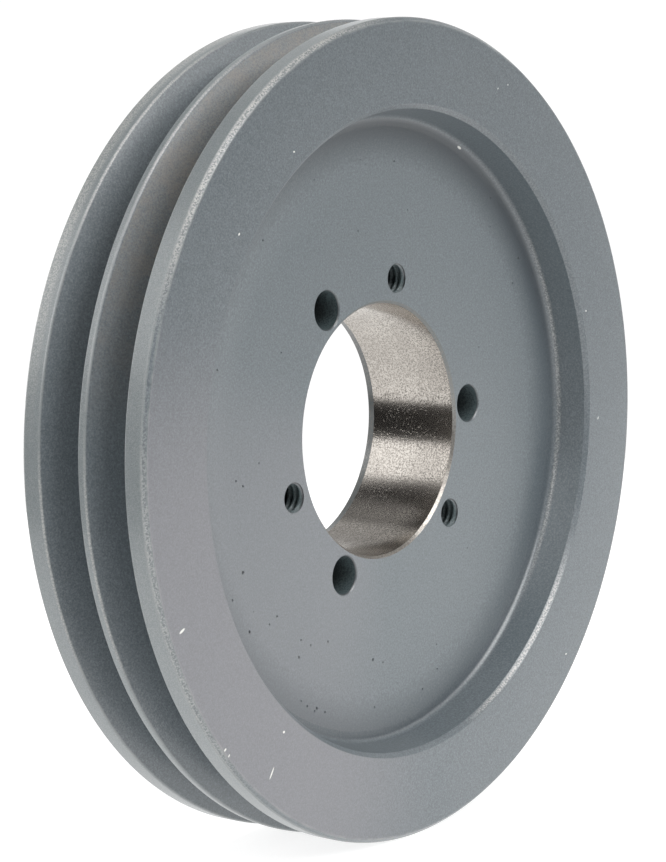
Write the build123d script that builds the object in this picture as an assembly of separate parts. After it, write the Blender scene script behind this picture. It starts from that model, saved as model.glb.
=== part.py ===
from build123d import *
import math
import os

# Two-groove V-belt pulley (sheave) with a taper bore for a quick-detachable bushing.
# Frame: the pulley spins about Y, +Z is up, its machined front faces -Y, and the origin
# is on the spin axis, halfway between the front of the rim and the back of the hub.
# The pulley is one iron casting. It is held here as seven regions that meet face to face.
# Every outline is a list of (radius, depth) points, with depth counted from the front face.

MM_PER_INCH = 25.4

# Rim and belt grooves: narrow-section belts, 3/8 in top width
outside_radius = 6.0 * MM_PER_INCH / 2
rim_width = (1 + 3 / 32) * MM_PER_INCH
groove_spacing = 10.32
first_groove_depth = 8.73
groove_top_width = 8.89
groove_depth = 8.64
groove_angle = 38.0
groove_lip_radius = 0.5
rim_chamfer_radial = 0.75
rim_chamfer_axial = 0.85

# Recess in the front of the rim, and the shallower one behind it. The floor of the front one
# is flat over the hub and curves forward a little towards the foot of the wall.
recess_mouth_radius = 60.5
recess_chamfer = 0.85
recess_foot_radius = 58.45
recess_fillet = 1.6
front_recess_depth = 8.2
recess_foot_rise = 1.1
web_thickness = 12.7
web_edge_margin = 0.3

# Hub and taper bore: 1 in 16 taper on the diameter, large end at the front
hub_length = (13 / 16) * MM_PER_INCH
hub_boss_radius = 3.25 * MM_PER_INCH / 2
hub_boss_draft = 0.4
hub_fillet = 2.0
hub_edge_chamfer = 0.8
bore_large_radius = 1.871 * MM_PER_INCH / 2
bore_taper = 1 / 32
bore_front_chamfer = 0.5
bore_rear_lead = 1.6
bore_rear_flare = 0.4
seat_wall = 0.8

# Screw holes, three of each kind on one circle; angles run from +X towards +Z
bolt_circle_radius = 2.25 * MM_PER_INCH / 2
holes_per_ring = 3
clearance_hole_radius = (9 / 32) * MM_PER_INCH / 2
clearance_hole_angle = 6.2
tapped_hole_radius = 2.55
tapped_hole_angle = 81.0
clearance_countersink = 0.25
tapped_countersink = 0.6

# Worked out from the sizes above
groove_bottom_radius = outside_radius - groove_depth
groove_wall_slope = math.tan(math.radians(groove_angle / 2))
groove_bottom_width = groove_top_width - 2 * groove_depth * groove_wall_slope
groove_centres = [first_groove_depth, first_groove_depth + groove_spacing]
web_rear = front_recess_depth + web_thickness
hub_rear = front_recess_depth + hub_length
overall_depth = max(hub_rear, rim_width)
web_radius = recess_foot_radius - recess_fillet - web_edge_margin
hub_foot_radius = hub_boss_radius + 2 * hub_fillet
bore_mouth_radius = bore_large_radius + bore_front_chamfer


def in_section(radius, depth):
    """Point of a section, in the XY plane, at a radius and a depth."""
    return (radius, depth - overall_depth / 2)


def revolved(outline, rounds=()):
    """Revolve a closed (radius, depth) outline, with the corners in rounds rounded first."""
    points = [in_section(radius, depth) for radius, depth in outline]
    section = make_face(Polyline(*points, close=True))
    for (radius, depth), round_radius in rounds:
        corner = Vector(*in_section(radius, depth))
        vertex = min(section.vertices(), key=lambda v: (Vector(*v) - corner).length)
        section = fillet(vertex, round_radius)
    return revolve(section, Axis.Y)


def groove_edge(centre, side, width):
    """Depth of one edge of a groove; side is -1 for the front edge and +1 for the rear edge."""
    return centre + side * width / 2


def end_flange(face, groove, towards_face):
    """Outer flange of the rim, between a flat rim face and its nearest groove."""
    lip = groove_edge(groove, towards_face, groove_top_width)
    root = groove_edge(groove, towards_face, groove_bottom_width)
    outline = [
        (groove_bottom_radius, face),
        (outside_radius - rim_chamfer_radial, face),
        (outside_radius, face - towards_face * rim_chamfer_axial),
        (outside_radius, lip),
        (groove_bottom_radius, root),
    ]
    return revolved(outline, [((outside_radius, lip), groove_lip_radius)])


def middle_rib():
    """Rib between the two grooves, with a narrow land on top."""
    front, rear = groove_centres
    front_lip = groove_edge(front, 1, groove_top_width)
    rear_lip = groove_edge(rear, -1, groove_top_width)
    outline = [
        (groove_bottom_radius, groove_edge(front, 1, groove_bottom_width)),
        (outside_radius, front_lip),
        (outside_radius, rear_lip),
        (groove_bottom_radius, groove_edge(rear, -1, groove_bottom_width)),
    ]
    rounds = [((outside_radius, lip), groove_lip_radius) for lip in (front_lip, rear_lip)]
    return revolved(outline, rounds)


def recess_floor(radius):
    """Depth of the floor of the front recess at a radius outside the hub."""
    way_out = (radius - hub_foot_radius) / (recess_foot_radius - hub_foot_radius)
    return front_recess_depth - recess_foot_rise * way_out ** 2


def rim_barrel():
    """Ring under the grooves; its bore is the wall of both recesses and it meets the web."""
    chamfered = recess_mouth_radius - recess_chamfer
    front_corner = (recess_foot_radius, recess_floor(recess_foot_radius))
    rear_corner = (recess_foot_radius, web_rear)
    outline = [
        (groove_bottom_radius, 0),
        (recess_mouth_radius, 0),
        (chamfered, recess_chamfer),
        front_corner,
        (web_radius, recess_floor(web_radius)),
        (web_radius, web_rear),
        rear_corner,
        (chamfered, rim_width - recess_chamfer),
        (recess_mouth_radius, rim_width),
        (groove_bottom_radius, rim_width),
    ]
    return revolved(outline, [(front_corner, recess_fillet), (rear_corner, recess_fillet)])


def web():
    """Disc between the hub and the rim: its front is the curved part of the recess floor."""
    radii = (hub_foot_radius, (hub_foot_radius + web_radius) / 2, web_radius)
    front = [in_section(radius, recess_floor(radius)) for radius in radii]
    rear = [in_section(web_radius, web_rear), in_section(hub_foot_radius, web_rear)]
    section = make_face(ThreePointArc(*front) + Polyline(front[2], *rear, front[0]))
    return revolve(section, Axis.Y)


def seat_outline():
    """Bore wall: mouth chamfer, taper and rear flare, backed by a shallow wall of iron."""
    lead_start = hub_rear - bore_rear_lead
    taper_front = front_recess_depth + bore_front_chamfer
    lead_radius = bore_large_radius - (lead_start - front_recess_depth) * bore_taper
    flared_radius = lead_radius + bore_rear_flare
    wall_radius = bore_large_radius + seat_wall
    return [
        (bore_mouth_radius, front_recess_depth),
        (bore_large_radius, taper_front),
        (lead_radius, lead_start),
        (flared_radius, hub_rear),
        (wall_radius, hub_rear - seat_wall),
        (wall_radius, front_recess_depth + seat_wall),
    ]


def drilled(radius, first_angle, countersink):
    """Three through holes on the bolt circle, each with a small countersink at the front."""
    holes = []
    for index in range(holes_per_ring):
        angle = math.radians(first_angle + index * 360 / holes_per_ring)
        x = bolt_circle_radius * math.cos(angle)
        z = bolt_circle_radius * math.sin(angle)
        middle = Location((x, (front_recess_depth + hub_rear - overall_depth) / 2, z), (90, 0, 0))
        mouth = Location((x, front_recess_depth - overall_depth / 2, z), (90, 0, 0))
        sink = Cone(radius, radius + 2 * countersink, 2 * countersink)
        holes.append(middle * Cylinder(radius, 2 * hub_length))
        holes.append(mouth * sink)
    return holes


def hub():
    """Hub from the taper seat out to the web, with its boss standing out at the back."""
    seat = seat_outline()
    boss_foot = (hub_boss_radius, web_rear)
    outline = [
        seat[0],
        (hub_foot_radius, front_recess_depth),
        (hub_foot_radius, web_rear),
        boss_foot,
        (hub_boss_radius - hub_boss_draft, hub_rear - hub_edge_chamfer),
        (hub_boss_radius - hub_boss_draft - hub_edge_chamfer, hub_rear),
        seat[3],
        seat[4],
        seat[5],
    ]
    body = revolved(outline, [(boss_foot, hub_fillet)])
    holes = drilled(clearance_hole_radius, clearance_hole_angle, clearance_countersink)
    holes += drilled(tapped_hole_radius, tapped_hole_angle, tapped_countersink)
    return body - holes


front_groove, rear_groove = groove_centres
nodes = {
    "front_flange": end_flange(0, front_groove, -1),
    "middle_rib": middle_rib(),
    "rear_flange": end_flange(rim_width, rear_groove, 1),
    "rim_barrel": rim_barrel(),
    "web": web(),
    "hub": hub(),
    "taper_seat": revolved(seat_outline()),
}

os.makedirs("parts", exist_ok=True)
for name, shape in nodes.items():
    export_step(shape, f"parts/{name}.step")
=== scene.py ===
import math
import random

import bmesh
import bpy
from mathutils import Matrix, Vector
from mathutils.geometry import delaunay_2d_cdt


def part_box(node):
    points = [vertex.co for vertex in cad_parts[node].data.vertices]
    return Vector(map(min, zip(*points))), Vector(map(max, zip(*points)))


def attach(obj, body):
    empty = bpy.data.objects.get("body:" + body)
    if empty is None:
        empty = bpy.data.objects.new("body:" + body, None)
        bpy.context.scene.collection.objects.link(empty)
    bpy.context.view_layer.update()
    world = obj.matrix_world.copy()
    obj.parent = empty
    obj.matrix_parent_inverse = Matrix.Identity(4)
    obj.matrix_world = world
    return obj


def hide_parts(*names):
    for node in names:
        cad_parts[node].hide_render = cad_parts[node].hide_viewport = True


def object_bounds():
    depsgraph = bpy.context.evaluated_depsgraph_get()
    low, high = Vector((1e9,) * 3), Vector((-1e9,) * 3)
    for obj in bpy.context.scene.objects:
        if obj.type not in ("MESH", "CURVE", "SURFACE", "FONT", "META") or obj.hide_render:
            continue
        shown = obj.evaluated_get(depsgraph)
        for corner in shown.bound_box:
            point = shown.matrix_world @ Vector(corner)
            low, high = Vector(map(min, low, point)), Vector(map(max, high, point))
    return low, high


# A two-groove V-belt pulley: painted iron casting with a bare taper bore.
# Sections are outlines of (radius, depth, corner radius) in millimetres. Depth runs along +Y
# from the front face of the rim, as in the CAD model, and the spin axis is Y.

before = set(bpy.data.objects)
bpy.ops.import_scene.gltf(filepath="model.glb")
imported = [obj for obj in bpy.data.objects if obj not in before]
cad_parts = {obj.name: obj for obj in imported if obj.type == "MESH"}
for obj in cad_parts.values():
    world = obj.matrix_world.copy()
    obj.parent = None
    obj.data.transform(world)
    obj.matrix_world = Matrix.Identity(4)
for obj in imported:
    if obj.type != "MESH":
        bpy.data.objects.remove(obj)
cad_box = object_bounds()

MM = 0.001
SEGMENTS = 512
ARC_STEPS = 8
DISH_STEPS = 4
SHARP_ANGLE = 28
WELD_DISTANCE = 2e-7
TRIANGULATION_TOLERANCE = 1e-7


def in_mm(length):
    return length / MM


def node_box_mm(node):
    """Lowest and highest corner of a CAD node, in millimetres."""
    low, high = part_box(node)
    return low / MM, high / MM


FRONT_Y = in_mm(cad_box[0].y)
OUTSIDE_RADIUS = in_mm(cad_box[1].x)
RIM_REAR = node_box_mm("rear_flange")[1].y - FRONT_Y
HUB_FRONT = node_box_mm("hub")[0].y - FRONT_Y
HUB_REAR = node_box_mm("hub")[1].y - FRONT_Y
HUB_FOOT_RADIUS = node_box_mm("hub")[1].x
WEB_REAR = node_box_mm("web")[1].y - FRONT_Y
WEB_RADIUS = node_box_mm("web")[1].x
GROOVE_BOTTOM = node_box_mm("rim_barrel")[1].x

# Rim and grooves
FIRST_GROOVE = 8.73
GROOVE_SPACING = 10.32
GROOVE_ANGLE = 38
GROOVE_CENTRES = (FIRST_GROOVE, FIRST_GROOVE + GROOVE_SPACING)
GROOVE_TOP_WIDTH = 8.89
GROOVE_SLOPE = math.tan(math.radians(GROOVE_ANGLE / 2))
GROOVE_BOTTOM_WIDTH = GROOVE_TOP_WIDTH - 2 * (OUTSIDE_RADIUS - GROOVE_BOTTOM) * GROOVE_SLOPE
GROOVE_LIP_RADIUS = 0.5
LIP_SHOULDER = 0.1
RIM_CHAMFER = (0.75, 0.85)
EDGE_RADIUS = 0.18

# Recesses
MOUTH_RADIUS = 60.5
MOUTH_CHAMFER = 0.85
FOOT_RADIUS = 58.45
FOOT_RISE = 1.1
RECESS_FILLET = 1.6

# Hub and taper bore
BOSS_RADIUS = 41.275
BOSS_DRAFT = 0.4
BOSS_FILLET = 2.0
BOSS_CHAMFER = 0.8
BORE_LARGE = 23.76
BORE_TAPER = 1 / 32
BORE_MOUTH_CHAMFER = 0.5
BORE_LEAD = 1.6
BORE_FLARE = 0.4
BORE_MOUTH_ROUNDING = 0.08
BORE_LEAD_ROUNDING = 0.1
SEAT_WALL = 0.8

# Holes
BOLT_CIRCLE = 28.575
CLEARANCE_RADIUS = 3.572
CLEARANCE_ANGLES = (6.2, 126.2, 246.2)
CLEARANCE_SINK = 0.25
TAPPED_ANGLES = (81.0, 201.0, 321.0)
THREAD_MAJOR = 3.175
THREAD_MINOR = 2.55
THREAD_PITCH = 1.27
TAPPED_SINK = 0.3
TAPPED_SINK_SLOPE = 1.7
THREAD_START = 0.01
THREAD_CREST = 0.25
THREAD_FLANK = 0.3125
HOLE_SEGMENTS = 96
ROWS_PER_PITCH = 16
SPRAY_REACH = 0.4

# Casting pits; a bowl is given as (share of the mouth's size, depth as a share of the size)
PIT_OUTLINE_POINTS = 14
PIT_WOBBLE = 0.25
PIT_MARGIN = 1.3
PIT_BOWL = ((1.0, 0.0), (0.8, 0.45), (0.45, 0.8))
RANDOM_PIT_SIZES = (0.08, 0.2)
PIT_SPACING = 1.0
WEB_RANDOM_PITS = 26
HUB_RANDOM_PITS = 12
PIT_FREE_EDGE = 1
PIT_FREE_HOLES = 6

# Finish; an arc is (middle, half angle) in degrees, from +X towards +Z
TURNING_FEED = 0.36
MARK_DEPTH = 0.4
PIT_DEPTH = 0.35
PIT_DARK_DEPTHS = (0.03, 0.2)
WEB_EDGE = 0.1
LAND_MARGIN = 0.25
RIB_WALL_MARGIN = 0.5
FLAT_FACE_DEPTH = 0.02
WALL_FOOT_DEPTHS = (6.4, 5.8)
CORNER_STARTS = (48.5, 57.0)
CORNER_ENDS = (57.7, 58.3)
EDGE_LIGHTENING_REACH = 0.4
MOUTH_OVERSPRAY = (75, 110)
BROWN_ARC = (118, 62)
# Arc of the painted sheen on the lower left
SHEEN_ARC = (216, 62)
# Arc at the upper right where the painted shade in the recess is strongest
SHADED_ARC = (62, 68)
# Arc of painted shade on the recess wall at the lower right
LOWER_WALL_SHADE_ARC = (-33, 30)
ARC_FULL_SHARE = 0.35
EDGE_FULL_SHARE = 0.25
MARK_EDGE = (0.7, 1.15)


# ---------------------------------------------------------------- mesh tools

def rounded(outline):
    """Points of a closed outline whose corners are replaced by arcs of their own radius."""
    points = []
    count = len(outline)
    for index, (radius, depth, rounding) in enumerate(outline):
        corner = Vector((radius, depth))
        if rounding <= 0:
            points.append(corner)
            continue
        before = Vector(outline[index - 1][:2]) - corner
        after = Vector(outline[(index + 1) % count][:2]) - corner
        half = before.angle(after) / 2
        reach = rounding / math.tan(half)
        start = corner + before.normalized() * reach
        end = corner + after.normalized() * reach
        inward = (before.normalized() + after.normalized()).normalized()
        centre = corner + inward * rounding / math.sin(half)
        first = start - centre
        turn = first.angle_signed(end - centre)
        for step in range(ARC_STEPS + 1):
            angle = -turn * step / ARC_STEPS
            spin = Vector((
                first.x * math.cos(angle) - first.y * math.sin(angle),
                first.x * math.sin(angle) + first.y * math.cos(angle),
            ))
            points.append(centre + spin)
    return points


def place(radius, angle, depth):
    """Position, in metres, of a point given by its radius and depth in mm, and its angle."""
    return Vector((
        radius * math.cos(angle) * MM,
        (FRONT_Y + depth) * MM,
        radius * math.sin(angle) * MM,
    ))


def recess_floor(radius):
    """Depth of the floor of the front recess: flat over the hub, then curving forward."""
    way_out = max(radius - HUB_FOOT_RADIUS, 0) / (FOOT_RADIUS - HUB_FOOT_RADIUS)
    return HUB_FRONT - FOOT_RISE * way_out ** 2


def flat(depth):
    """A face's depth at a radius, for a face that has the same depth all over."""
    return lambda radius: depth


def ring_of_verts(bm, radius, depth):
    step = 2 * math.pi / SEGMENTS
    return [bm.verts.new(place(radius, index * step, depth)) for index in range(SEGMENTS)]


def bridge(bm, first, second, slot=0):
    """Quads between two closed loops of equally many vertices, in one material slot."""
    count = len(first)
    for index in range(count):
        nxt = (index + 1) % count
        face = bm.faces.new((first[index], first[nxt], second[nxt], second[index]))
        face.material_index = slot


def revolve(bm, points, closed):
    """Surface of revolution of (radius, depth) points about the spin axis."""
    loops = [ring_of_verts(bm, point[0], point[1]) for point in points]
    for first, second in zip(loops, loops[1:]):
        bridge(bm, first, second)
    if closed:
        bridge(bm, loops[-1], loops[0])


def circle(centre, radius, count, wobble=0.0, rng=None):
    """Points of a circle in the plane of a face; wobble makes it uneven."""
    points = []
    for index in range(count):
        angle = 2 * math.pi * index / count
        reach = radius * (1 + (rng.uniform(-wobble, wobble) if rng else 0))
        across = centre[0] + reach * math.cos(angle)
        up = centre[1] + reach * math.sin(angle)
        points.append(Vector((across, up)))
    return points


def inside(point, polygon):
    """Whether a point lies within a closed polygon, by counting crossings."""
    crossings = 0
    for index, end in enumerate(polygon):
        start = polygon[index - 1]
        if (start.y > point.y) != (end.y > point.y):
            along = (point.y - start.y) / (end.y - start.y)
            crossings += start.x + along * (end.x - start.x) > point.x
    return crossings % 2 == 1


def end_face(bm, depth_at, inner, outer, mouths, between=()):
    """Face between two circles about the axis, with the mouths left open.

    depth_at gives its depth at a radius, and between lists the radii of circles of extra
    vertices, for a face that isn't flat.
    """
    loops = [circle((0, 0), inner, SEGMENTS), circle((0, 0), outer, SEGMENTS)]
    loops += [mouth["points"] for mouth in mouths]
    points = []
    edges = []
    for loop in loops:
        start = len(points)
        points += loop
        edges += [(start + i, start + (i + 1) % len(loop)) for i in range(len(loop))]
    for radius in between:
        for point in circle((0, 0), radius, SEGMENTS):
            if all((point - mouth["centre"]).length > mouth["reach"] for mouth in mouths):
                points.append(point)
    found = delaunay_2d_cdt(points, edges, [], 0, TRIANGULATION_TOLERANCE)
    flat_points, triangles = found[0], found[2]
    verts = []
    for point in flat_points:
        y = FRONT_Y + depth_at(point.length)
        verts.append(bm.verts.new(Vector((point.x * MM, y * MM, point.y * MM))))
    for triangle in triangles:
        middle = sum((flat_points[i] for i in triangle), Vector((0, 0))) / 3
        if inside(middle, loops[0]) or not inside(middle, loops[1]):
            continue
        near = [m for m in mouths if (middle - m["centre"]).length < m["reach"]]
        if any(inside(middle, mouth["points"]) for mouth in near):
            continue
        bm.faces.new([verts[i] for i in triangle])


def pit_mouths(spots, rng):
    """Openings for small casting pits: (x, z, size) spots with an uneven outline each."""
    mouths = []
    for x, z, size in spots:
        mouths.append({
            "centre": Vector((x, z)),
            "reach": size * PIT_MARGIN,
            "points": circle((x, z), size, PIT_OUTLINE_POINTS, PIT_WOBBLE, rng),
            "size": size,
        })
    return mouths


def pit_bowls(bm, mouths):
    """The bowl under each pit's mouth in the recess floor: two shrinking rings and a bottom."""
    for mouth in mouths:
        loops = []
        for shrink, sink in PIT_BOWL:
            loop = []
            for point in mouth["points"]:
                spot = mouth["centre"] + (point - mouth["centre"]) * shrink
                y = FRONT_Y + recess_floor(point.length) + sink * mouth["size"]
                loop.append(bm.verts.new(Vector((spot.x * MM, y * MM, spot.y * MM))))
            loops.append(loop)
        bridge(bm, loops[0], loops[1])
        bridge(bm, loops[1], loops[2])
        bm.faces.new(loops[2])


def finish_piece(bm, name, nodes, materials):
    """Weld the mesh, shade it smooth between its real edges and hand it to the frame."""
    bmesh.ops.remove_doubles(bm, verts=bm.verts, dist=WELD_DISTANCE)
    bmesh.ops.recalc_face_normals(bm, faces=bm.faces)
    mesh = bpy.data.meshes.new(name)
    bm.to_mesh(mesh)
    bm.free()
    mesh.polygons.foreach_set("use_smooth", [True] * len(mesh.polygons))
    mesh.set_sharp_from_angle(angle=math.radians(SHARP_ANGLE))
    for material in materials:
        mesh.materials.append(material)
    piece = bpy.data.objects.new(name, mesh)
    bpy.context.scene.collection.objects.link(piece)
    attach(piece, "root")
    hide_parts(*nodes)


# ---------------------------------------------------------------- node tools

class Nodes:
    """Short calls for building a node tree."""

    def __init__(self, tree):
        self.tree = tree
        tree.nodes.clear()

    def add(self, kind, **settings):
        node = self.tree.nodes.new(kind)
        for key, value in settings.items():
            setattr(node, key, value)
        return node

    def link(self, source, target):
        self.tree.links.new(source, target)

    def put(self, socket, value):
        if isinstance(value, bpy.types.NodeSocket):
            self.link(value, socket)
        else:
            socket.default_value = value

    def math(self, operation, first, second=0.0, third=None):
        node = self.add("ShaderNodeMath", operation=operation)
        self.put(node.inputs[0], first)
        self.put(node.inputs[1], second)
        if third is not None:
            self.put(node.inputs[2], third)
        return node.outputs[0]

    def times(self, *factors):
        product = factors[0]
        for factor in factors[1:]:
            product = self.math("MULTIPLY", product, factor)
        return product

    def vector(self, operation, first, second=(0, 0, 0)):
        node = self.add("ShaderNodeVectorMath", operation=operation)
        self.put(node.inputs[0], first)
        self.put(node.inputs[1], second)
        return node.outputs["Value" if operation in ("LENGTH", "DOT_PRODUCT") else "Vector"]

    def ramp(self, value, low, high, to_low=0.0, to_high=1.0):
        """A smooth step from to_low, where value is low, to to_high, where it is high."""
        node = self.add("ShaderNodeMapRange", interpolation_type="SMOOTHSTEP")
        for socket, number in zip(node.inputs, (value, low, high, to_low, to_high)):
            self.put(socket, number)
        return node.outputs[0]

    def noise(self, vector, scale, detail, roughness):
        node = self.add("ShaderNodeTexNoise")
        self.put(node.inputs["Vector"], vector)
        node.inputs["Scale"].default_value = scale
        node.inputs["Detail"].default_value = detail
        node.inputs["Roughness"].default_value = roughness
        return node.outputs["Fac"]

    def mix(self, factor, first, second, blend="MIX"):
        node = self.add("ShaderNodeMix", data_type="RGBA", blend_type=blend)
        self.put(node.inputs["Factor"], factor)
        self.put(node.inputs["A"], first)
        self.put(node.inputs["B"], second)
        return node.outputs["Result"]

    def bump(self, height, strength, distance):
        node = self.add("ShaderNodeBump")
        node.inputs["Strength"].default_value = strength
        node.inputs["Distance"].default_value = distance
        self.put(node.inputs["Height"], height)
        return node.outputs["Normal"]

    def end(self, shader, kind="ShaderNodeOutputMaterial"):
        """Make a shader the surface of the whole tree."""
        output = self.add(kind)
        self.link(shader.outputs[0], output.inputs["Surface"])


def rgba(red, green, blue):
    return (red, green, blue, 1.0)


def new_material(name):
    material = bpy.data.materials.new(name)
    material.use_nodes = True
    return material, Nodes(material.node_tree)


class Point:
    """The point being shaded: its position in millimetres, distance from the axis and depth."""

    def __init__(self, n):
        metres = n.add("ShaderNodeTexCoord").outputs["Object"]
        self.position = n.vector("MULTIPLY", metres, (1 / MM, 1 / MM, 1 / MM))
        self.across = n.vector("MULTIPLY", self.position, (1, 0, 1))
        self.radius = n.vector("LENGTH", self.across)
        parts = n.add("ShaderNodeSeparateXYZ")
        n.link(self.position, parts.inputs[0])
        self.depth = n.math("SUBTRACT", parts.outputs["Y"], FRONT_Y)


def near_edges(n, at, edges, reach):
    """1 on circular edges, given as (radius, depth), fading to 0 within reach millimetres."""
    closest = 0.0
    for edge_radius, edge_depth in edges:
        across = n.math("SUBTRACT", at.radius, edge_radius)
        along = n.math("SUBTRACT", at.depth, edge_depth)
        squares = n.math("ADD", n.times(across, across), n.times(along, along))
        near = n.ramp(n.math("SQRT", squares), EDGE_FULL_SHARE * reach, reach, 1, 0)
        closest = n.math("MAXIMUM", closest, near)
    return closest


def on_arc(n, at, middle, half_angle):
    """1 on the part of the circumference about a middle angle, with soft ends, and 0 elsewhere."""
    turn = math.radians(middle)
    outward = n.vector("NORMALIZE", at.across)
    facing = n.vector("DOT_PRODUCT", outward, (math.cos(turn), 0, math.sin(turn)))
    full = half_angle * ARC_FULL_SHARE
    return n.ramp(facing, math.cos(math.radians(half_angle)), math.cos(math.radians(full)))


def on_marks(n, at, marks):
    """1 inside small oval marks, each (x, depth, z, length, width, angle in degrees), else 0."""
    covered = 0.0
    for x, depth, z, length, width, angle in marks:
        place_mark = n.add("ShaderNodeMapping", vector_type="TEXTURE")
        n.link(at.position, place_mark.inputs["Vector"])
        place_mark.inputs["Location"].default_value = (x, FRONT_Y + depth, z)
        place_mark.inputs["Rotation"].default_value = (0, -math.radians(angle), 0)
        place_mark.inputs["Scale"].default_value = (length / 2, MARK_DEPTH, width / 2)
        away = n.vector("LENGTH", place_mark.outputs["Vector"])
        covered = n.math("MAXIMUM", covered, n.ramp(away, *MARK_EDGE, 1, 0))
    return covered


# Noises in the paint, each (scale per mm, detail, roughness), with the range of values over
# which it takes effect and, where it doesn't go from 0 to 1, the shares it goes between
CLOUD_NOISE = (0.05, 3.0, 0.6)
CLOUD_RANGE = (0.35, 0.65)
GRAIN_NOISE = (1.9, 3.0, 0.7)
GRAIN_RANGE = (0.32, 0.68)
SPECK_NOISE = (5.5, 1.0, 0.5)
GRIT_RANGE = (0.45, 0.62)
DOT_NOISE = (3.2, 1.0, 0.5)
DARK_DOT_RANGE = (0.34, 0.48)
LIGHT_DOT_RANGE = (0.54, 0.68)
BROKEN_BAND_RANGE = (0.42, 0.6)
BROKEN_BAND_SHARES = (0.25, 1.15)
BROWN_NOISE = (0.22, 4.0, 0.7)
BROWN_RANGE = (0.35, 0.7)
BROWN_LEAST = 0.2
BROWN_GRAIN_RANGE = (0.3, 0.6)
BROWN_GRAIN_SHARES = (0.4, 1.0)
SAND_NOISE = (3.5, 2.0, 0.6)
SAND_RANGE = (0.42, 0.62)
EDGE_PATCH_NOISE = (0.25, 4.0, 0.75)
EDGE_PATCH_RANGE = (0.35, 0.65)
EDGE_PATCH_SHARES = (0.2, 0.9)
TURNING_NOISE = (0.03, 2.0, 0.5)
TURNING_RANGE = (0.45, 0.75)

# Colours of the paint
PAINT_CLOUD = (rgba(0.097, 0.117, 0.131), rgba(0.107, 0.126, 0.139))
PAINT_GRAIN = rgba(0.140, 0.165, 0.180)
DARK_DOT = rgba(0.045, 0.056, 0.064)
LIGHT_DOT = rgba(0.26, 0.29, 0.30)
LAND_PAINT = rgba(0.190, 0.212, 0.215)
LAND_GRIT = rgba(0.30, 0.315, 0.31)
THIN_BROWN = rgba(0.180, 0.163, 0.145)
BROWN_SAND = rgba(0.255, 0.228, 0.195)
# Partly rubbed paint, partly painted highlight along edges
RUBBED_AND_HIGHLIGHT_PAINT = rgba(0.225, 0.240, 0.242)
# Partly wear, partly painted highlight on arcs of the rim and recess
WEAR_AND_HIGHLIGHT_PAINT = rgba(0.62, 0.60, 0.56)
# Painted sheen
SHEEN_PAINT = rgba(0.27, 0.243, 0.262)
FLOOR_PAINT = rgba(0.24, 0.285, 0.30)
# Painted shade in the pits
PIT_SHADE_PAINT = rgba(0.024, 0.028, 0.029)
# Painted shade on the recess wall
WALL_SHADE_PAINT = rgba(0.04, 0.07, 0.085)
# Painted shade at the foot of the recess
CORNER_SHADE_PAINT = rgba(0.03, 0.043, 0.055)
CHIP = rgba(0.80, 0.80, 0.76)

# Share of each of these colours where it is at its strongest
DARK_DOT_SHARE = 0.32
LIGHT_DOT_SHARE = 0.28
LAND_SHARE = 0.55
LAND_GRIT_SHARE = 0.45
BROWN_SAND_SHARE = 0.45
SHEEN_IN_RECESS = 0.25
SHEEN_ON_FACE = 0.4
FLOOR_SHARE = 0.12
PIT_SHADE_SHARE = 0.65
WALL_SHADE_SHARE = 0.4
LOWER_WALL_SHADE_SHARE = 0.22
CORNER_SHADE_SHARE = 0.5
CORNER_SHADE_SHARE_ON_ARC = 0.35

# Surface of the paint: the heights share out a bump that is given in metres
ROUGHNESS_RANGE = (0.3, 0.7)
GRAIN_HEIGHT = 0.9
SPECK_HEIGHT = 0.45
TURNING_HEIGHT = 0.06
PAINT_ROUGHNESS = (0.38, 0.47)
PAINT_SPECULAR = 0.8
PAINT_COAT = 0.6
PAINT_COAT_ROUGHNESS = 0.2
PAINT_BUMP = 0.00006
PAINT_BUMP_STRENGTH = 0.9


def land_paint(n, at, base, speck):
    """Paler, gritty paint on the outermost circumference."""
    land = n.math("GREATER_THAN", at.radius, OUTSIDE_RADIUS - LAND_MARGIN)
    base = n.mix(n.times(land, LAND_SHARE), base, LAND_PAINT)
    gritty = n.times(land, n.ramp(speck, *GRIT_RANGE, 0.0, LAND_GRIT_SHARE))
    return n.mix(gritty, base, LAND_GRIT)


def brown_paint(n, at, base, grain, warm):
    """Brown iron that shows through thin paint on an arc of the groove walls."""
    walls = n.math("LESS_THAN", at.radius, OUTSIDE_RADIUS - RIB_WALL_MARGIN)
    brown = n.times(on_arc(n, at, *BROWN_ARC), walls)
    thin = n.ramp(n.noise(at.position, *BROWN_NOISE), *BROWN_RANGE, BROWN_LEAST * warm, warm)
    through = n.ramp(grain, *BROWN_GRAIN_RANGE, *BROWN_GRAIN_SHARES)
    base = n.mix(n.times(thin, brown, through), base, THIN_BROWN)
    sand = n.ramp(n.noise(at.position, *SAND_NOISE), *SAND_RANGE, 0.0, BROWN_SAND_SHARE)
    return n.mix(n.times(sand, brown), base, BROWN_SAND)


def floor_paint(n, at, base):
    """Lighter paint on the floor of the recess, and painted shade darkening the bottoms of its
    pits.
    """
    base = n.mix(FLOOR_SHARE, base, FLOOR_PAINT)
    way_out = n.math("MAXIMUM", n.math("SUBTRACT", at.radius, HUB_FOOT_RADIUS), 0.0)
    way_out = n.math("DIVIDE", way_out, FOOT_RADIUS - HUB_FOOT_RADIUS)
    rise = n.times(way_out, way_out, FOOT_RISE)
    below = n.math("ADD", n.math("SUBTRACT", at.depth, HUB_FRONT), rise)
    within = n.math("LESS_THAN", below, PIT_DEPTH)
    clear = n.math("SUBTRACT", 1.0, n.math("GREATER_THAN", at.radius, WEB_RADIUS - WEB_EDGE))
    # Painted shade deeper in the pits
    pitted = n.times(n.ramp(below, *PIT_DARK_DEPTHS), within, clear)
    return n.mix(n.times(pitted, PIT_SHADE_SHARE), base, PIT_SHADE_PAINT)


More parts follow.
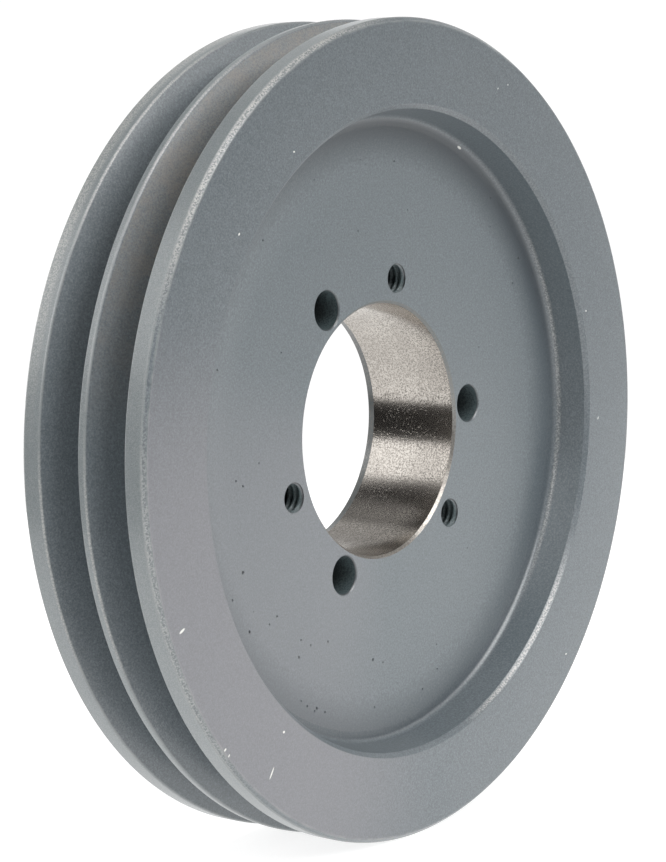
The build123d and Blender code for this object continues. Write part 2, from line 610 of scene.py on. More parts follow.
def wall_shade(n, at, base, shaded):
    """Painted shade: darker paint on two arcs of the wall of the front recess."""
    in_recess = n.math("LESS_THAN", at.radius, MOUTH_RADIUS - MOUTH_CHAMFER)
    wall = n.times(in_recess, n.ramp(at.depth, *WALL_FOOT_DEPTHS))
    dark = n.times(on_arc(n, at, *LOWER_WALL_SHADE_ARC), LOWER_WALL_SHADE_SHARE)
    dark = n.math("ADD", n.times(shaded, WALL_SHADE_SHARE), dark)
    return n.mix(n.times(wall, dark), base, WALL_SHADE_PAINT)


def enamel(name, warm=0.0, edges=(), wear_and_highlights=(), flecks=(), hollow=False):
    """Satin blue-grey enamel over machined iron.

    warm is how far brown iron shows through, edges are circles where the paint is scuffed thin and
    painted highlight lines lie, worn lists (circle, reach, middle, half angle, strength) for
    lighter arcs of scuffed paint and painted highlight, flecks are light chips, and hollow is for
    the floor of the recess and its pits.
    """
    material, n = new_material(name)
    at = Point(n)
    cloud = n.noise(at.position, *CLOUD_NOISE)
    grain = n.noise(at.position, *GRAIN_NOISE)
    speck = n.noise(at.position, *SPECK_NOISE)
    dots = n.noise(at.position, *DOT_NOISE)
    # Upper-right arc for the painted shade in the recess
    shaded = on_arc(n, at, *SHADED_ARC)

    base = n.mix(n.ramp(cloud, *CLOUD_RANGE), *PAINT_CLOUD)
    base = n.mix(n.ramp(grain, *GRAIN_RANGE), base, PAINT_GRAIN)
    base = n.mix(n.ramp(dots, *DARK_DOT_RANGE, DARK_DOT_SHARE, 0.0), base, DARK_DOT)
    base = n.mix(n.ramp(dots, *LIGHT_DOT_RANGE, 0.0, LIGHT_DOT_SHARE), base, LIGHT_DOT)
    if edges:
        base = land_paint(n, at, base, speck)
    if warm:
        base = brown_paint(n, at, base, grain, warm)
    if edges:
        # Lighter edges: partly thin rubbed paint, partly painted highlight lines along the chamfers
        # and lips.
        patchy = n.ramp(n.noise(at.position, *EDGE_PATCH_NOISE), *EDGE_PATCH_RANGE, *EDGE_PATCH_SHARES)
        rubbed_and_highlit = n.times(near_edges(n, at, edges, EDGE_LIGHTENING_REACH), patchy)
        base = n.mix(rubbed_and_highlit, base, RUBBED_AND_HIGHLIGHT_PAINT)
    # Lighter arcs: painted highlights on the rim's lips, land and chamfers and at the foot of the
    # recess wall, with real wear on the chamfers and at the mouth of the recess.
    for edge, reach, middle, half_angle, strength in wear_and_highlights:
        band = n.times(near_edges(n, at, [edge], reach), strength)
        band = n.times(band, on_arc(n, at, middle, half_angle))
        broken = n.ramp(dots, *BROKEN_BAND_RANGE, *BROKEN_BAND_SHARES)
        base = n.mix(n.times(band, broken), base, WEAR_AND_HIGHLIGHT_PAINT)
    # Painted sheen: a lighter lilac-grey arc on the lower left of the faces and the recess stands
    # in for a reflection.
    sheen = on_arc(n, at, *SHEEN_ARC)
    if hollow:
        base = n.mix(n.times(sheen, SHEEN_IN_RECESS), base, SHEEN_PAINT)
        base = floor_paint(n, at, base)
    else:
        sheen = n.times(sheen, n.math("LESS_THAN", at.depth, FLAT_FACE_DEPTH))
        base = n.mix(n.times(sheen, SHEEN_ON_FACE), base, SHEEN_PAINT)
    # Painted shade on the wall of the recess, on the barrel
    if not edges and not hollow:
        base = wall_shade(n, at, base, shaded)
    # Painted shade: the paint darkens towards the foot of the recess, most on the arc at the upper
    # right.
    corner = n.times(n.ramp(at.radius, *CORNER_STARTS), n.ramp(at.radius, *CORNER_ENDS, 1.0, 0.0))
    corner = n.times(corner, n.math("MULTIPLY_ADD", shaded, CORNER_SHADE_SHARE_ON_ARC, CORNER_SHADE_SHARE))
    base = n.mix(corner, base, CORNER_SHADE_PAINT)
    if flecks:
        base = n.mix(on_marks(n, at, flecks), base, CHIP)

    turning = n.math("SINE", n.times(at.radius, 2 * math.pi / TURNING_FEED))
    turning = n.times(turning, n.ramp(n.noise(at.position, *TURNING_NOISE), *TURNING_RANGE))
    height = n.math("ADD", n.times(grain, GRAIN_HEIGHT), n.times(speck, SPECK_HEIGHT))
    height = n.math("ADD", height, n.times(turning, TURNING_HEIGHT))
    shader = n.add("ShaderNodeBsdfPrincipled")
    n.link(base, shader.inputs["Base Color"])
    n.link(n.ramp(grain, *ROUGHNESS_RANGE, *PAINT_ROUGHNESS), shader.inputs["Roughness"])
    shader.inputs["Specular IOR Level"].default_value = PAINT_SPECULAR
    shader.inputs["Coat Weight"].default_value = PAINT_COAT
    shader.inputs["Coat Roughness"].default_value = PAINT_COAT_ROUGHNESS
    n.link(n.bump(height, PAINT_BUMP_STRENGTH, PAINT_BUMP), shader.inputs["Normal"])
    n.end(shader)
    return material


# Partly dark iron, partly painted shade deep in the holes
HOLE_IRON_AND_SHADE = rgba(0.011, 0.015, 0.016)
HOLE_OVERSPRAY = rgba(0.110, 0.145, 0.152)
HOLE_SPECULAR = 0.4
HOLE_ROUGHNESS = (0.7, 0.4)
OVERSPRAY_DEPTHS = (0.2, 7.0)
OVERSPRAY_SHARES = (1.0, 0.1)
OVERSPRAY_NOISE = (2.8, 3.0, 0.7)
OVERSPRAY_NOISE_RANGE = (0.35, 0.65)
OVERSPRAY_NOISE_SHARES = (0.5, 1.4)


def hole_shade(name):
    """Thin overspray over dark iron, which fades out down the screw holes from both ends; the
    near-black deep down is partly painted shade.
    """
    material, n = new_material(name)
    at = Point(n)
    from_front = n.math("SUBTRACT", at.depth, HUB_FRONT)
    from_rear = n.math("SUBTRACT", HUB_REAR, at.depth)
    to_end = n.math("MINIMUM", from_front, from_rear)
    sprayed = n.ramp(to_end, *OVERSPRAY_DEPTHS, *OVERSPRAY_SHARES)
    patches = n.noise(at.position, *OVERSPRAY_NOISE)
    patches = n.ramp(patches, *OVERSPRAY_NOISE_RANGE, *OVERSPRAY_NOISE_SHARES)
    sprayed = n.times(sprayed, patches)
    shader = n.add("ShaderNodeBsdfPrincipled")
    n.link(n.mix(sprayed, HOLE_IRON_AND_SHADE, HOLE_OVERSPRAY), shader.inputs["Base Color"])
    n.link(n.ramp(sprayed, 0.0, 1.0, *HOLE_ROUGHNESS), shader.inputs["Roughness"])
    shader.inputs["Specular IOR Level"].default_value = HOLE_SPECULAR
    n.end(shader)
    return material


IRON = (rgba(0.54, 0.505, 0.465), rgba(0.62, 0.585, 0.54))
IRON_GRAIN = rgba(0.36, 0.335, 0.305)
GRAPHITE = rgba(0.14, 0.13, 0.12)
GRAPHITE_SHARE = 0.6
FLARE_OVERSPRAY = rgba(0.105, 0.115, 0.117)
CHAMFER_OVERSPRAY = rgba(0.20, 0.213, 0.213)
IRON_ROUGHNESS = (0.26, 0.20)
CHAMFER_EXTRA_ROUGHNESS = 0.2
IRON_BUMP = 0.000014
IRON_BUMP_STRENGTH = 1.0
IRON_GRAIN_HEIGHT = 0.5
IRON_GRAIN_NOISE = (3.0, 2.0, 0.7)
IRON_GRAIN_RANGE = (0.38, 0.62)
IRON_PATCH_NOISE = (0.12, 3.0, 0.6)
IRON_PATCH_RANGE = (0.35, 0.65)
GRAPHITE_SCALE = 2.3
GRAPHITE_RANGE = (0.14, 0.36)
GRAPHITE_LEFT_OUT = 0.35
COVER_RANGE = (0.36, 0.5)
COVER_SHARES = (0.5, 1.0)
IRON_ANISOTROPY = 0.75
QUARTER_TURN = 0.25


def bare_iron(name):
    """Ground grey iron with dark graphite specks; the grinding lines run round the bore."""
    material, n = new_material(name)
    at = Point(n)
    grain = n.noise(at.position, *IRON_GRAIN_NOISE)
    patches = n.noise(at.position, *IRON_PATCH_NOISE)
    cells = n.add("ShaderNodeTexVoronoi")
    n.link(at.position, cells.inputs["Vector"])
    cells.inputs["Scale"].default_value = GRAPHITE_SCALE
    cell_number = n.vector("DOT_PRODUCT", cells.outputs["Color"], (1, 0, 0))
    chosen = n.math("GREATER_THAN", cell_number, GRAPHITE_LEFT_OUT)
    specks = n.times(n.ramp(cells.outputs["Distance"], *GRAPHITE_RANGE, 1.0, 0.0), chosen)

    base = n.mix(n.ramp(patches, *IRON_PATCH_RANGE), *IRON)
    base = n.mix(n.ramp(grain, *IRON_GRAIN_RANGE), IRON_GRAIN, base)
    base = n.mix(n.times(specks, GRAPHITE_SHARE), base, GRAPHITE)
    cover = n.ramp(grain, *COVER_RANGE, *COVER_SHARES)
    flare = n.math("GREATER_THAN", at.depth, HUB_REAR - BORE_LEAD)
    flare_paint = n.times(flare, cover)
    chamfer = n.math("LESS_THAN", at.depth, HUB_FRONT + BORE_MOUTH_CHAMFER)
    chamfer_paint = n.times(chamfer, on_arc(n, at, *MOUTH_OVERSPRAY), cover)
    base = n.mix(flare_paint, base, FLARE_OVERSPRAY)
    base = n.mix(chamfer_paint, base, CHAMFER_OVERSPRAY)
    painted = n.math("MAXIMUM", flare_paint, chamfer_paint)

    shader = n.add("ShaderNodeBsdfPrincipled")
    n.link(base, shader.inputs["Base Color"])
    n.link(n.math("SUBTRACT", 1.0, painted), shader.inputs["Metallic"])
    roughness = n.ramp(grain, *ROUGHNESS_RANGE, *IRON_ROUGHNESS)
    roughness = n.math("MULTIPLY_ADD", chamfer, CHAMFER_EXTRA_ROUGHNESS, roughness)
    n.link(roughness, shader.inputs["Roughness"])
    shader.inputs["Anisotropic"].default_value = IRON_ANISOTROPY
    shader.inputs["Anisotropic Rotation"].default_value = QUARTER_TURN
    tangent = n.add("ShaderNodeTangent", direction_type="RADIAL", axis="Y")
    n.link(tangent.outputs[0], shader.inputs["Tangent"])
    height = n.math("SUBTRACT", n.times(grain, IRON_GRAIN_HEIGHT), specks)
    n.link(n.bump(height, IRON_BUMP_STRENGTH, IRON_BUMP), shader.inputs["Normal"])
    n.end(shader)
    return material


# ---------------------------------------------------------------- the pulley

def groove_edge(centre, side, width):
    return centre + side * width / 2


def end_flange(name, face, groove, side, material):
    """Outer flange of the rim, at the front (side -1) or the rear (side 1)."""
    radial, axial = RIM_CHAMFER
    outline = [
        (GROOVE_BOTTOM, face, 0),
        (OUTSIDE_RADIUS - radial, face, EDGE_RADIUS),
        (OUTSIDE_RADIUS, face - side * axial, EDGE_RADIUS),
        (OUTSIDE_RADIUS, groove_edge(groove, side, GROOVE_TOP_WIDTH), GROOVE_LIP_RADIUS),
        (GROOVE_BOTTOM, groove_edge(groove, side, GROOVE_BOTTOM_WIDTH), 0),
    ]
    bm = bmesh.new()
    revolve(bm, rounded(outline), closed=True)
    finish_piece(bm, name + "_casting", [name], [material])


def middle_rib(material):
    front, rear = GROOVE_CENTRES
    outline = [
        (GROOVE_BOTTOM, groove_edge(front, 1, GROOVE_BOTTOM_WIDTH), 0),
        (OUTSIDE_RADIUS, groove_edge(front, 1, GROOVE_TOP_WIDTH), GROOVE_LIP_RADIUS),
        (OUTSIDE_RADIUS, groove_edge(rear, -1, GROOVE_TOP_WIDTH), GROOVE_LIP_RADIUS),
        (GROOVE_BOTTOM, groove_edge(rear, -1, GROOVE_BOTTOM_WIDTH), 0),
    ]
    bm = bmesh.new()
    revolve(bm, rounded(outline), closed=True)
    finish_piece(bm, "middle_rib_casting", ["middle_rib"], [material])


def rim_barrel(material):
    chamfered = MOUTH_RADIUS - MOUTH_CHAMFER
    outline = [
        (GROOVE_BOTTOM, 0, 0),
        (MOUTH_RADIUS, 0, EDGE_RADIUS),
        (chamfered, MOUTH_CHAMFER, EDGE_RADIUS),
        (FOOT_RADIUS, recess_floor(FOOT_RADIUS), RECESS_FILLET),
        (WEB_RADIUS, recess_floor(WEB_RADIUS), 0),
        (WEB_RADIUS, WEB_REAR, 0),
        (FOOT_RADIUS, WEB_REAR, RECESS_FILLET),
        (chamfered, RIM_REAR - MOUTH_CHAMFER, EDGE_RADIUS),
        (MOUTH_RADIUS, RIM_REAR, EDGE_RADIUS),
        (GROOVE_BOTTOM, RIM_REAR, 0),
    ]
    bm = bmesh.new()
    revolve(bm, rounded(outline), closed=True)
    finish_piece(bm, "rim_barrel_casting", ["rim_barrel"], [material])


def web(material, rng):
    """Disc between hub and rim, with a few casting pits in its front face."""
    inner = HUB_FOOT_RADIUS + PIT_FREE_EDGE
    outer = WEB_RADIUS - PIT_FREE_EDGE
    pits = pit_mouths(scatter(WEB_PITS, WEB_RANDOM_PITS, inner, outer, rng), rng)
    bm = bmesh.new()
    step = (WEB_RADIUS - HUB_FOOT_RADIUS) / DISH_STEPS
    between = [HUB_FOOT_RADIUS + step * index for index in range(1, DISH_STEPS)]
    end_face(bm, recess_floor, HUB_FOOT_RADIUS, WEB_RADIUS, pits, between)
    pit_bowls(bm, pits)
    end_face(bm, flat(WEB_REAR), HUB_FOOT_RADIUS, WEB_RADIUS, [])
    revolve(bm, [(HUB_FOOT_RADIUS, HUB_FRONT), (HUB_FOOT_RADIUS, WEB_REAR)], closed=False)
    revolve(bm, [(WEB_RADIUS, recess_floor(WEB_RADIUS)), (WEB_RADIUS, WEB_REAR)], closed=False)
    finish_piece(bm, "web_casting", ["web"], [material])


def seat_points():
    """Bore wall outline: mouth chamfer, taper, rear flare, and the wall behind it."""
    lead = HUB_REAR - BORE_LEAD
    lead_radius = BORE_LARGE - (lead - HUB_FRONT) * BORE_TAPER
    wall = BORE_LARGE + SEAT_WALL
    return [
        (BORE_LARGE + BORE_MOUTH_CHAMFER, HUB_FRONT, 0),
        (BORE_LARGE, HUB_FRONT + BORE_MOUTH_CHAMFER, BORE_MOUTH_ROUNDING),
        (lead_radius, lead, BORE_LEAD_ROUNDING),
        (lead_radius + BORE_FLARE, HUB_REAR, 0),
        (wall, HUB_REAR - SEAT_WALL, 0),
        (wall, HUB_FRONT + SEAT_WALL, 0),
    ]


def taper_seat(material):
    bm = bmesh.new()
    revolve(bm, rounded(seat_points()), closed=True)
    finish_piece(bm, "taper_seat_machined", ["taper_seat"], [material])


def hole_centre(angle):
    turn = math.radians(angle)
    return Vector((BOLT_CIRCLE * math.cos(turn), BOLT_CIRCLE * math.sin(turn)))


def hole_mouth(angle, radius):
    centre = hole_centre(angle)
    points = circle(centre, radius, HOLE_SEGMENTS)
    return {"centre": centre, "reach": radius, "points": points}


def hole_wall(bm, angle, rows):
    """Wall of a hole: rows of (depth, radius for each of the angles round the hole)."""
    centre = hole_centre(angle)
    loops = []
    for depth, radii in rows:
        loop = []
        for index, radius in enumerate(radii):
            turn = 2 * math.pi * index / HOLE_SEGMENTS
            x = centre.x + radius * math.cos(turn)
            z = centre.y + radius * math.sin(turn)
            loop.append(bm.verts.new(Vector((x * MM, (FRONT_Y + depth) * MM, z * MM))))
        loops.append(loop)
    for (depth, _), first, second in zip(rows, loops, loops[1:]):
        deep = HUB_FRONT + SPRAY_REACH <= depth < HUB_REAR - SPRAY_REACH
        bridge(bm, first, second, int(deep))


def plain_rows():
    """Clearance hole: a straight wall with its two edges just broken."""
    rows = []
    for depth, radius in (
        (HUB_FRONT, CLEARANCE_RADIUS + CLEARANCE_SINK),
        (HUB_FRONT + CLEARANCE_SINK, CLEARANCE_RADIUS),
        (HUB_FRONT + SPRAY_REACH, CLEARANCE_RADIUS),
        (HUB_REAR - SPRAY_REACH, CLEARANCE_RADIUS),
        (HUB_REAR - CLEARANCE_SINK, CLEARANCE_RADIUS),
        (HUB_REAR, CLEARANCE_RADIUS + CLEARANCE_SINK),
    ):
        rows.append((depth, [radius] * HOLE_SEGMENTS))
    return rows


def thread_radius(phase):
    """Radius of a 60 degree internal thread at a phase from 0 to 1 along its pitch."""
    height = THREAD_MAJOR - THREAD_MINOR
    if phase < THREAD_CREST:
        return THREAD_MINOR
    if phase < THREAD_CREST + THREAD_FLANK:
        return THREAD_MINOR + height * (phase - THREAD_CREST) / THREAD_FLANK
    if phase < 1 - THREAD_FLANK:
        return THREAD_MAJOR
    return THREAD_MINOR + height * (1 - phase) / THREAD_FLANK


def threaded_rows():
    """Tapped hole: a right-hand thread that runs out into a countersink at both ends."""
    rows = []
    count = int(ROWS_PER_PITCH * (HUB_REAR - HUB_FRONT) / THREAD_PITCH)
    for row in range(count + 1):
        depth = HUB_FRONT + (HUB_REAR - HUB_FRONT) * row / count
        to_end = min(depth - HUB_FRONT, HUB_REAR - depth)
        sink = THREAD_MINOR + TAPPED_SINK - to_end * TAPPED_SINK_SLOPE
        most = THREAD_MINOR + TAPPED_SINK + to_end
        radii = []
        for index in range(HOLE_SEGMENTS):
            turn = index / HOLE_SEGMENTS
            phase = (depth / THREAD_PITCH + turn + THREAD_START) % 1
            radii.append(max(sink, min(most, thread_radius(phase))))
        rows.append((depth, radii))
    return rows


def hub(material, hole_material, rng):
    """Hub with its six screw holes, its pits and the boss at the back."""
    seat = seat_points()
    mouths = [hole_mouth(angle, CLEARANCE_RADIUS + CLEARANCE_SINK) for angle in CLEARANCE_ANGLES]
    mouths += [hole_mouth(angle, THREAD_MINOR + TAPPED_SINK) for angle in TAPPED_ANGLES]
    inner = BOLT_CIRCLE + PIT_FREE_HOLES
    outer = HUB_FOOT_RADIUS - PIT_FREE_EDGE
    pits = pit_mouths(scatter(HUB_PITS, HUB_RANDOM_PITS, inner, outer, rng), rng)
    face_edge = BOSS_RADIUS - BOSS_DRAFT - BOSS_CHAMFER
    bm = bmesh.new()
    end_face(bm, recess_floor, seat[0][0], HUB_FOOT_RADIUS, mouths + pits)
    pit_bowls(bm, pits)
    outline = [
        (HUB_FOOT_RADIUS, HUB_FRONT, 0),
        (HUB_FOOT_RADIUS, WEB_REAR, 0),
        (BOSS_RADIUS, WEB_REAR, BOSS_FILLET),
        (BOSS_RADIUS - BOSS_DRAFT, HUB_REAR - BOSS_CHAMFER, EDGE_RADIUS),
        (face_edge, HUB_REAR, 0),
    ]
    revolve(bm, rounded(outline), closed=False)
    end_face(bm, flat(HUB_REAR), seat[3][0], face_edge, mouths)
    revolve(bm, [seat[3][:2], seat[4][:2], seat[5][:2], seat[0][:2]], closed=False)
    for angle in CLEARANCE_ANGLES:
        hole_wall(bm, angle, plain_rows())
    for angle in TAPPED_ANGLES:
        hole_wall(bm, angle, threaded_rows())
    finish_piece(bm, "hub_casting", ["hub"], [material, hole_material])


# Pits that stand out, as (x, z, size) on the front of the web and hub; the rest are scattered
WEB_PITS = [
    (-39.7, -32.7, 0.32), (-35.6, 36.1, 0.26), (-20.6, -49.5, 0.32), (-23.5, -48.6, 0.24),
    (-18.2, -50.6, 0.26), (-25.2, -47.4, 0.2), (-21.4, -49.9, 0.2), (45.1, 31.1, 0.26),
    (43.6, 26.1, 0.26), (-33.8, -32.2, 0.22), (-25.3, -39.4, 0.26), (-41.2, -21.9, 0.36),
    (-48.1, 14.1, 0.24), (-44.4, -26.4, 0.26), (-2.7, -52.3, 0.24), (12.8, -51.3, 0.22),
    (3.4, 50.1, 0.22), (50.9, 13.3, 0.24),
]
HUB_PITS = [
    (-31.6, -31.0, 0.26), (-21.8, -37.7, 0.22), (-2.8, -43.2, 0.34), (0.4, -44.2, 0.2),
    (8, 41, 0.2), (-43.0, -5.6, 0.24), (-41.1, -6.7, 0.26), (-30.3, 16.1, 0.22),
    (-24.7, -36.3, 0.24), (-16.7, -37.8, 0.24), (-7.6, 37.3, 0.22), (32.1, 13.9, 0.2),
]

# Light chips in the paint: (x, depth, z, length, width, angle in degrees)
FACE_FLECKS = [
    (-67, 0, -27.8, 1.6, 0.5, 28), (-56, 0, -49.8, 0.7, 0.4, 40), (-55, 0, -51, 0.6, 0.3, 60),
    (-43.4, 0, -56.2, 2.4, 0.35, 58), (26, 0, 64, 0.4, 0.25, 50), (29.4, 0, 64.8, 0.35, 0.25, 20),
    (52.2, 0, -49.4, 0.6, 0.3, 0),
]
BARREL_FLECKS = [
    (-40, 0, -49.5, 0.6, 0.5, 0), (-51.8, 0, 37.5, 0.6, 0.4, 45), (-36.9, 0, 51.4, 0.5, 0.35, 0),
    (58.6, 0, 20.2, 0.5, 0.35, 0), (63.7, 0, -2, 0.7, 0.3, 70), (23.4, 7.1, 52.8, 1.3, 0.45, -25),
]


def rim_edges():
    """Circles of the rim where paint rubs thin and painted highlight lines lie: outer chamfers and
    groove lips.
    """
    radial, axial = RIM_CHAMFER
    edges = [(OUTSIDE_RADIUS - radial, 0), (OUTSIDE_RADIUS, axial)]
    edges += [(OUTSIDE_RADIUS - radial, RIM_REAR), (OUTSIDE_RADIUS, RIM_REAR - axial)]
    for centre in GROOVE_CENTRES:
        for side in (-1, 1):
            lip = groove_edge(centre, side, GROOVE_TOP_WIDTH)
            edges.append((OUTSIDE_RADIUS - LIP_SHOULDER, lip))
    return edges


# Lighter arcs of wear and of painted highlight: (reach in mm, middle, half angle, strength)
CHAMFER_WEAR_AND_HIGHLIGHT_ABOVE = (0.7, 129, 38, 0.48)
CHAMFER_WEAR_AND_HIGHLIGHT_LEFT = (0.7, 201, 34, 0.25)
LIP_HIGHLIGHT_ABOVE = (0.4, 130, 24, 0.3)
LIP_HIGHLIGHT_LEFT = (0.4, 194, 18, 0.25)
LAND_HIGHLIGHT_DEPTH = 1.8
LAND_HIGHLIGHT = (1.8, 132, 48, 0.3)
RIB_HIGHLIGHT_ABOVE = (0.4, 130, 18, 0.3)
MOUTH_WEAR = (0.65, -51, 24, 0.5)
FOOT_HIGHLIGHT = (0.65, 2, 46, 0.26)
FOOT_HIGHLIGHT_OUT = 0.15
FOOT_HIGHLIGHT_FORWARD = 0.8


def rim_wear_and_highlights(side):
    """Lighter arcs on a flange: scuffed paint and painted highlight on its chamfer, painted
    highlight on its groove lip and its land.
    """
    radial, axial = RIM_CHAMFER
    face = 0 if side < 0 else RIM_REAR
    groove = GROOVE_CENTRES[0] if side < 0 else GROOVE_CENTRES[1]
    lip = (OUTSIDE_RADIUS - LIP_SHOULDER, groove_edge(groove, side, GROOVE_TOP_WIDTH))
    chamfer = (OUTSIDE_RADIUS - radial / 2, face - side * axial / 2)
    lighter_arcs = [(chamfer, *CHAMFER_WEAR_AND_HIGHLIGHT_ABOVE), (chamfer, *CHAMFER_WEAR_AND_HIGHLIGHT_LEFT), (lip, *LIP_HIGHLIGHT_ABOVE)]
    if side > 0:
        land = (OUTSIDE_RADIUS, RIM_REAR - LAND_HIGHLIGHT_DEPTH)
        lighter_arcs += [(land, *LAND_HIGHLIGHT), (lip, *LIP_HIGHLIGHT_LEFT)]
    return lighter_arcs


def rib_highlights():
    """Painted highlights on the front lip of the middle rib."""
    lip = (OUTSIDE_RADIUS - LIP_SHOULDER, groove_edge(GROOVE_CENTRES[0], 1, GROOVE_TOP_WIDTH))
    return [(lip, *RIB_HIGHLIGHT_ABOVE), (lip, *LIP_HIGHLIGHT_LEFT)]


def mouth_wear_and_highlight():
    """Lighter arcs in the recess: scuffed paint on the mouth's chamfer, and a painted highlight at
    the foot of the wall at the right.
    """
    middle = (MOUTH_RADIUS - MOUTH_CHAMFER / 2, MOUTH_CHAMFER / 2)
    foot = (FOOT_RADIUS + FOOT_HIGHLIGHT_OUT, recess_floor(FOOT_RADIUS) - FOOT_HIGHLIGHT_FORWARD)
    return [(middle, *MOUTH_WEAR), (foot, *FOOT_HIGHLIGHT)]


def scatter(chosen, count, inner, outer, rng):
    """The chosen pits, then random small ones that keep clear of each other."""
    spots = list(chosen)
    while len(spots) < len(chosen) + count:
        radius = math.sqrt(rng.uniform(inner ** 2, outer ** 2))
        turn = rng.uniform(0, 2 * math.pi)
        spot = (radius * math.cos(turn), radius * math.sin(turn), rng.uniform(*RANDOM_PIT_SIZES))
        if all(math.hypot(spot[0] - s[0], spot[1] - s[1]) > PIT_SPACING for s in spots):
            spots.append(spot)
    return spots


# ---------------------------------------------------------------- camera, floor and light

# Camera: degrees and millimetres; the target stands beside the middle of the front face
CAMERA_AZIMUTH = -52.58
CAMERA_ELEVATION = 5.61
CAMERA_DISTANCE = 470.2
TARGET_ASIDE = -15.73
TARGET_UP = 0.28
LENS = 105.9
SENSOR_WIDTH = 36
CLIP = (0.01, 50)

# Floor, in metres
FLOOR_RADIUS = 0.6
FLOOR_SEGMENTS = 128
FLOOR_FAR_SIDE = 52
FLOOR_NEAR_REACH = 0.235
FLOOR_GAP = 0.0002
FLOOR_GREY = 0.35
FLOOR_GLOW = 0.83

# Light: strengths, and angles in degrees
ROOM_LEVEL = 0.01
BACKDROP_LEVEL = 1.05
BOX_SOFT_SIDE = 8
BOX_SOFT_END = 1.5
# (azimuth, half width, low elevation, high elevation, strength)
SOFT_BOXES = [
    (0, 22, 24, 62, 6.0),
    (45, 22, 24, 40, 1.5),
    (-90, 14, 14, 40, 6.0),
    (-90, 22, 40, 62, 3.8),
    (-135, 24, 13, 42, 1.5),
    (180, 22, -8, 24, 2.1),
    (135, 22, -8, 24, 1.1),
    (135, 22, 24, 62, 0.45),
    (90, 22, -8, 40, 0.6),
    (66, 14, -6, 8, 0.65),
    (180, 90, 62, 90, 1.2),
]


def direction(azimuth, elevation):
    """Unit vector; azimuth 0 is -Y, the front, and turns towards +X."""
    a, e = math.radians(azimuth), math.radians(elevation)
    return Vector((math.sin(a) * math.cos(e), -math.cos(a) * math.cos(e), math.sin(e)))


def add_camera():
    """Long lens, from the front left and a little above the axis."""
    back = direction(CAMERA_AZIMUTH, CAMERA_ELEVATION)
    right = Vector((0, 0, 1)).cross(back).normalized()
    up = back.cross(right)
    data = bpy.data.cameras.new("camera")
    data.lens = LENS
    data.sensor_width = SENSOR_WIDTH
    data.clip_start, data.clip_end = CLIP
    camera = bpy.data.objects.new("camera", data)
    bpy.context.scene.collection.objects.link(camera)
    target = Vector((0, FRONT_Y, 0)) + right * TARGET_ASIDE + up * TARGET_UP
    camera.location = (target + back * CAMERA_DISTANCE) * MM
    camera.rotation_mode = "QUATERNION"
    camera.rotation_quaternion = back.to_track_quat("Z", "Y")
    bpy.context.scene.camera = camera


def add_floor():
    """Pale table top under the rim, far to the front right and less far to the rear left."""
    bm = bmesh.new()
    bmesh.ops.create_circle(bm, cap_ends=True, segments=FLOOR_SEGMENTS, radius=FLOOR_RADIUS)
    mesh = bpy.data.meshes.new("floor")
    bm.to_mesh(mesh)
    bm.free()
    material, n = new_material("pale_floor")
    diffuse = n.add("ShaderNodeBsdfDiffuse")
    diffuse.inputs["Color"].default_value = rgba(FLOOR_GREY, FLOOR_GREY, FLOOR_GREY)
    glow = n.add("ShaderNodeEmission")
    glow.inputs["Color"].default_value = rgba(1, 1, 1)
    glow.inputs["Strength"].default_value = FLOOR_GLOW
    both = n.add("ShaderNodeAddShader")
    n.link(diffuse.outputs[0], both.inputs[0])
    n.link(glow.outputs[0], both.inputs[1])
    n.end(both)
    mesh.materials.append(material)
    floor = bpy.data.objects.new("floor", mesh)
    floor.location = direction(FLOOR_FAR_SIDE, 0) * (FLOOR_RADIUS - FLOOR_NEAR_REACH)
    floor.location.z = cad_box[0].z - FLOOR_GAP
    bpy.context.scene.collection.objects.link(floor)


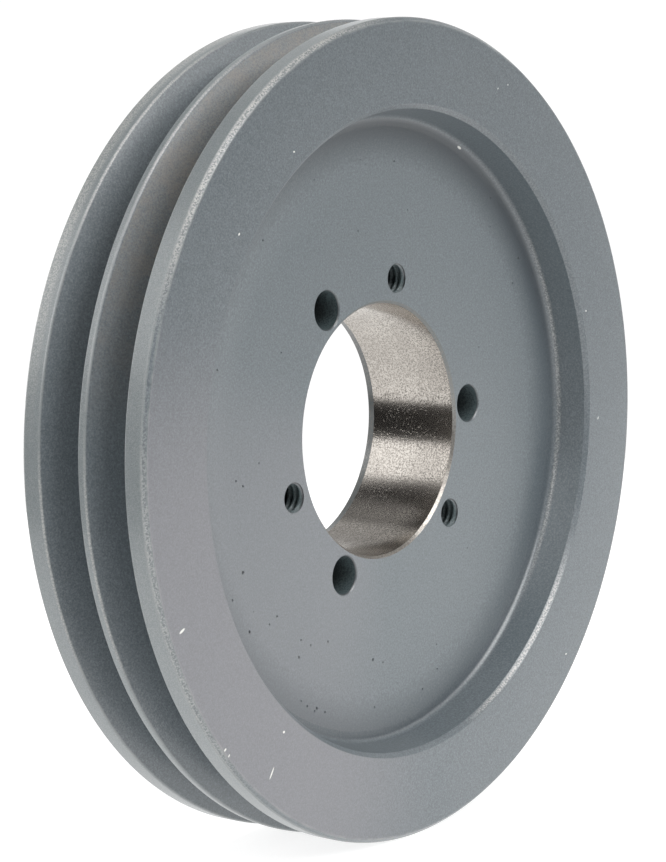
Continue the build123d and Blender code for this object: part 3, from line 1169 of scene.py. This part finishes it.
def soft_box(n, look, height, azimuth, half_width, low, high):
    """1 where a direction lies in a soft-edged box of azimuth and elevation, in degrees, else 0."""
    flat = n.vector("NORMALIZE", n.vector("MULTIPLY", look, (1, 1, 0)))
    facing = n.vector("DOT_PRODUCT", flat, tuple(direction(azimuth, 0)))
    outer = math.cos(math.radians(min(half_width + BOX_SOFT_SIDE, 180)))
    inner = math.cos(math.radians(half_width - BOX_SOFT_SIDE))
    sides = n.ramp(facing, outer, inner)
    edges = []
    for elevation in (low, high):
        below = math.sin(math.radians(elevation - BOX_SOFT_END))
        above = math.sin(math.radians(elevation + BOX_SOFT_END))
        edges.append(n.ramp(height, below, above))
    return n.times(sides, n.math("SUBTRACT", edges[0], edges[1]))


def studio_light():
    """Dim room with broad white soft boxes, and plain white where the camera looks past it all."""
    world = bpy.data.worlds.new("studio")
    bpy.context.scene.world = world
    world.use_nodes = True
    n = Nodes(world.node_tree)
    look = n.add("ShaderNodeTexCoord").outputs["Generated"]
    parts = n.add("ShaderNodeSeparateXYZ")
    n.link(look, parts.inputs[0])
    height = parts.outputs["Z"]
    level = ROOM_LEVEL
    for *box, strength in SOFT_BOXES:
        level = n.math("ADD", level, n.times(soft_box(n, look, height, *box), strength))
    colour = n.mix(1.0, rgba(1, 1, 1), level, "MULTIPLY")
    surround = n.add("ShaderNodeBackground")
    n.link(colour, surround.inputs["Color"])
    plain = n.add("ShaderNodeBackground")
    plain.inputs["Color"].default_value = rgba(BACKDROP_LEVEL, BACKDROP_LEVEL, BACKDROP_LEVEL)
    path = n.add("ShaderNodeLightPath")
    pick = n.add("ShaderNodeMixShader")
    n.link(path.outputs["Is Camera Ray"], pick.inputs[0])
    n.link(surround.outputs[0], pick.inputs[1])
    n.link(plain.outputs[0], pick.inputs[2])
    n.end(pick, "ShaderNodeOutputWorld")


SEED = 17
RIB_WARMTH = 0.8

add_camera()
rng = random.Random(SEED)
front_enamel = enamel("front_enamel", 0, rim_edges(), rim_wear_and_highlights(-1), FACE_FLECKS)
rear_enamel = enamel("rear_enamel", 0, rim_edges(), rim_wear_and_highlights(1))

end_flange("front_flange", 0, GROOVE_CENTRES[0], -1, front_enamel)
middle_rib(enamel("rib_enamel", RIB_WARMTH, rim_edges(), rib_highlights()))
end_flange("rear_flange", RIM_REAR, GROOVE_CENTRES[1], 1, rear_enamel)
rim_barrel(enamel("barrel_enamel", 0, (), mouth_wear_and_highlight(), BARREL_FLECKS))
web(enamel("web_enamel", hollow=True), rng)
hub(enamel("hub_enamel", hollow=True), hole_shade("hole_iron_and_shade"), rng)
taper_seat(bare_iron("machined_iron"))

add_floor()
studio_light()
bpy.context.scene.view_settings.view_transform = "Standard"
